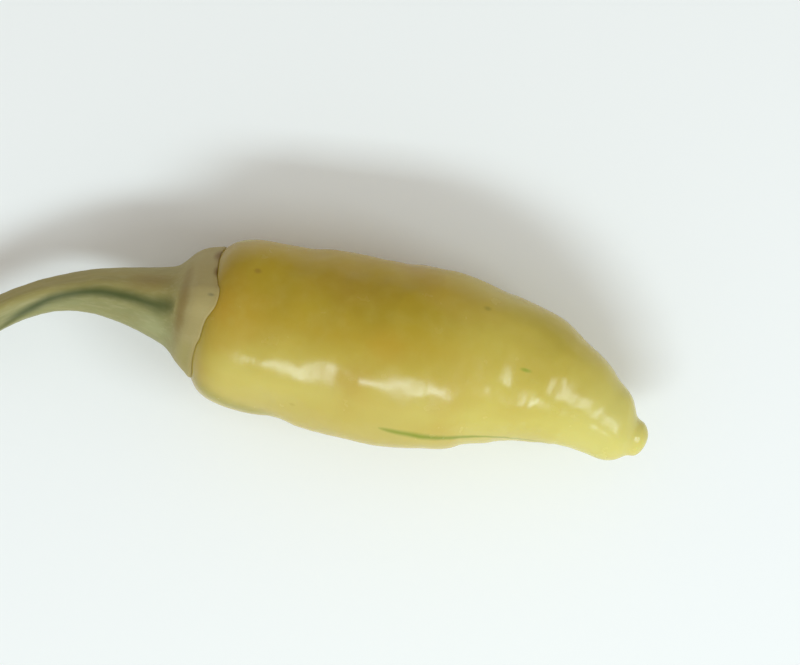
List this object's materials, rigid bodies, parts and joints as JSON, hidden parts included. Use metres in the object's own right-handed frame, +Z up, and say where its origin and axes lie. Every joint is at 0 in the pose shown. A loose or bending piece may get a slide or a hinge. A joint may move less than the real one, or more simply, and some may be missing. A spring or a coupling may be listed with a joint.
{
  "type": "chilli pepper",
  "caption": "Short, plump, pale yellow chilli pepper lying on its side, with a blunt hooked tip and a curved stalk that flares into the calyx.",
  "frame": {"origin": "on the patch of belly that the pod rests on, under its fattest part", "axes": "+X runs along the pepper from the stalk's end to the pod's tip, +Y is the pod's outer, bowed side and +Z is up from the surface it lies on"},
  "size_m": [0.0874, 0.027, 0.0208],
  "materials": {
    "pod_skin": "gloss",
    "stalk_skin": "satin"
  },
  "bodies": {
    "root": {"pod": "pod_skin", "stalk_with_calyx": "stalk_skin"}
  },
  "joints": []
}
